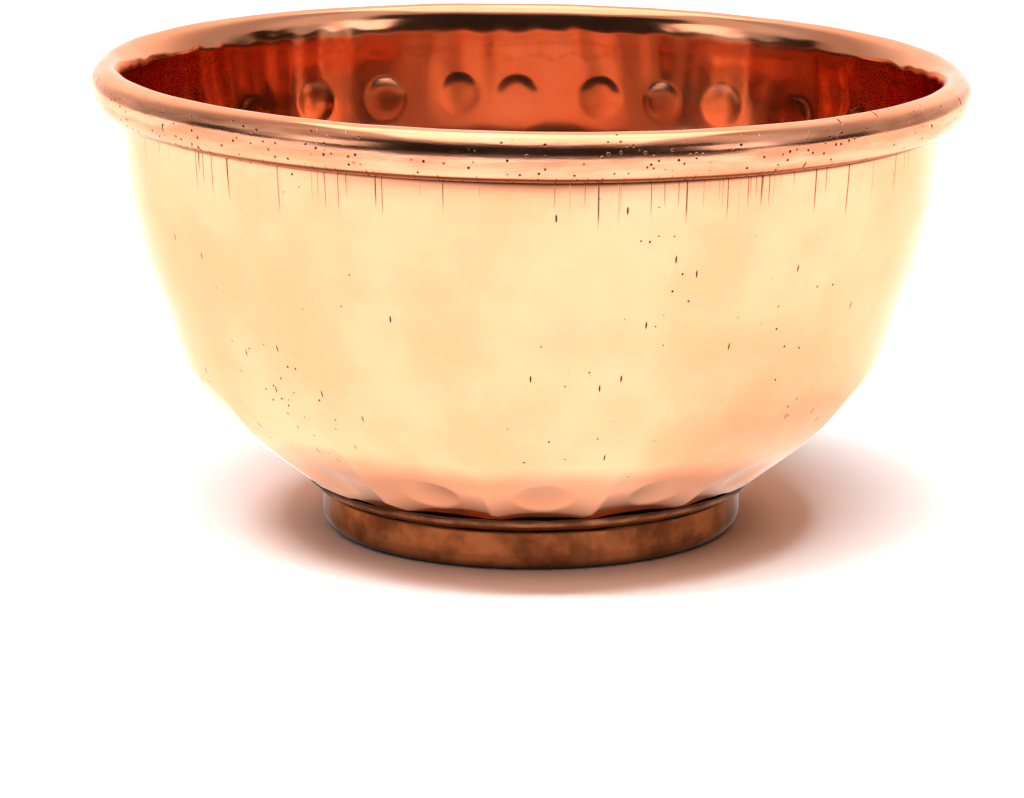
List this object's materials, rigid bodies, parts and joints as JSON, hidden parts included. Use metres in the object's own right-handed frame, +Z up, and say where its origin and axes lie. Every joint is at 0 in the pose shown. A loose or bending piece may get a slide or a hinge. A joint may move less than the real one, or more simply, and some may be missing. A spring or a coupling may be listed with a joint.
{
  "type": "hammered copper bowl",
  "caption": "Small hammered copper bowl with an outward rolled, wired rim and a low soldered foot ring, for offerings, salt or small things.",
  "frame": {"origin": "on the table, under the middle of the foot ring", "axes": "+Z up along the bowl's axis; -Y towards the viewer; the foot ring's soldered joint is at +Y"},
  "size_m": [0.076, 0.076, 0.0407],
  "materials": {
    "bowl_copper": "polished copper, hammered",
    "wire_copper": "drawn copper wire, dull",
    "foot_copper": "satin copper, slightly browned",
    "solder": "dark, rough hard solder with flux stain"
  },
  "bodies": {
    "root": {"bowl_shell": "bowl_copper", "rim_wire": "wire_copper", "foot_ring": "foot_copper", "foot_joint_solder": "solder", "foot_seam_solder": "solder"}
  },
  "joints": []
}
